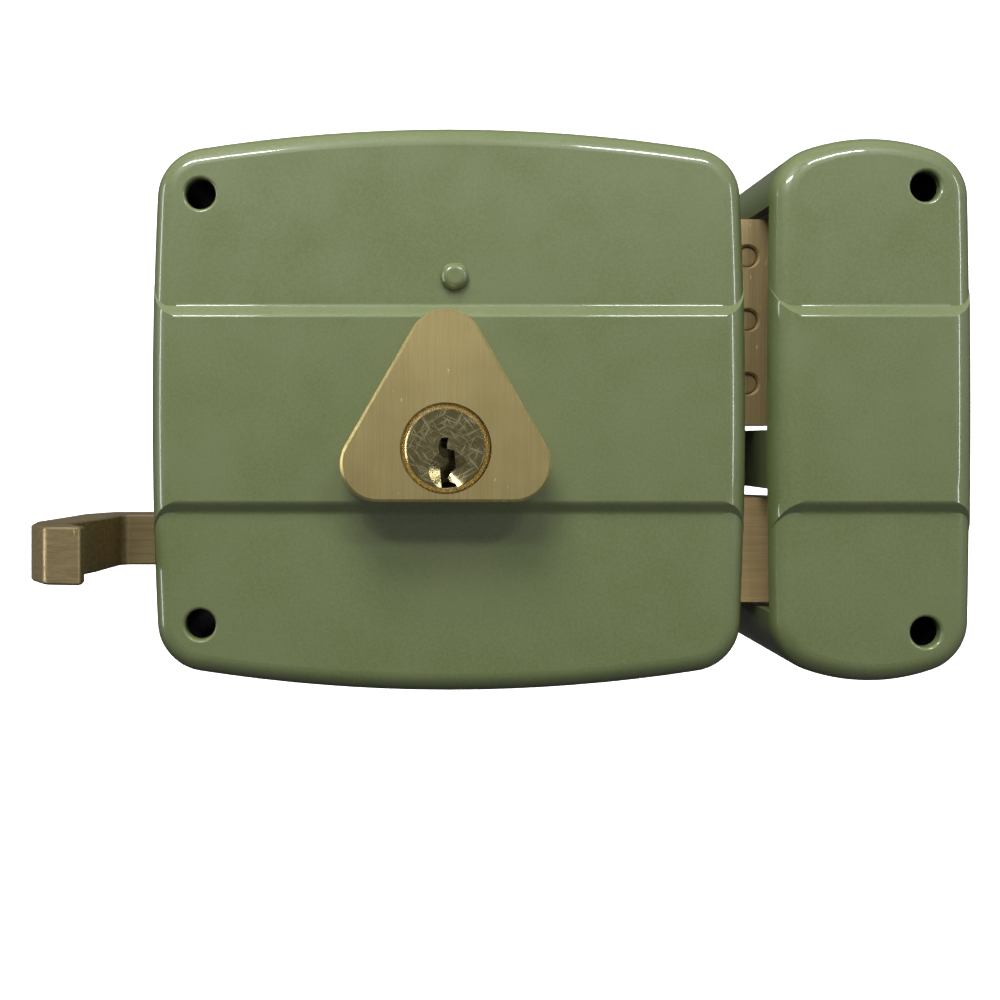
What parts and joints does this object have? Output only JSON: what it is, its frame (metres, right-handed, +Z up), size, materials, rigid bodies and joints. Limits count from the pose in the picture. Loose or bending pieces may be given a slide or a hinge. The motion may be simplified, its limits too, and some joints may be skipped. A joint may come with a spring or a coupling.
{
  "type": "rim lock with deadbolt and spring latch",
  "caption": "Surface-mounted door lock: pressed case with a keyed deadbolt, a spring latch on a finger pull, and the matching keeper box for the frame.",
  "frame": {"origin": "on the cylinder's axis, at the door's face (the back of the back plate)", "axes": "+X along the door towards its edge and the keeper, +Y out of the room into the door, +Z up"},
  "size_m": [0.1584, 0.0614, 0.0944],
  "materials": {
    "green_paint": "semi-gloss paint",
    "block_brass": "brushed",
    "plug_brass": "satin",
    "bolt_brass": "drawn, slightly tarnished",
    "pin_brass": "turned",
    "hard_steel": "ground",
    "zinc_steel": "zinc plated",
    "plain_steel": "oiled",
    "spring_steel": "drawn wire"
  },
  "bodies": {
    "case": {"case_cover": "green_paint", "front_rivet": "green_paint", "back_plate": "zinc_steel", "guide_plate": "plain_steel", "cover_standoffs": "zinc_steel", "back_plate_screws": "zinc_steel", "upper_mount_spacer": "zinc_steel", "lower_mount_spacer": "zinc_steel", "chamber_retainer": "plain_steel", "cylinder_body": "block_brass", "cylinder_screws": "zinc_steel", "driver_pins": "pin_brass", "driver_springs": "spring_steel", "chamber_cap": "pin_brass", "tail_guide_stud": "plain_steel", "latch_guide": "plain_steel", "detent_spring": "spring_steel", "detent_post": "plain_steel"},
    "plug": {"plug": "plug_brass", "key_pins": "pin_brass", "plug_clip": "spring_steel", "drive_pinion": "plain_steel"},
    "deadbolt": {"deadbolt_block": "bolt_brass", "deadbolt_hard_pins": "hard_steel", "deadbolt_tail": "plain_steel", "deadbolt_rivets": "pin_brass"},
    "latch": {"latch_bolt": "bolt_brass", "latch_bar": "plain_steel", "latch_bar_pins": "plain_steel", "finger_pull": "bolt_brass", "pull_rivets": "pin_brass", "spring_pin": "plain_steel", "latch_spring": "spring_steel"},
    "keeper": {"keeper_shell": "green_paint", "keeper_strike": "zinc_steel", "keeper_spacers": "zinc_steel"}
  },
  "joints": [
    {"name": "deadbolt_slide", "type": "slide", "parent": "case", "child": "deadbolt", "axis": [1, 0, 0], "range_m": [-0.0201, 0]},
    {"name": "plug_turn", "type": "hinge", "parent": "case", "child": "plug", "pos_m": [0, 0, 0], "axis": [0, 1, 0], "range_deg": [-360, 0]},
    {"name": "latch_slide", "type": "slide", "parent": "case", "child": "latch", "axis": [1, 0, 0], "range_m": [-0.012, 0], "stiffness_N_per_m": 300, "springref_m": 0.008, "deforming": ["latch_spring"]},
    {"name": "keeper_pull_off", "type": "slide", "parent": "case", "child": "keeper", "axis": [1, 0, 0], "range_m": [0, 0.035]}
  ],
  "couplings": [
    {"joint": "plug_turn", "follows": "deadbolt_slide", "rad_per_m": 312.5}
  ]
}
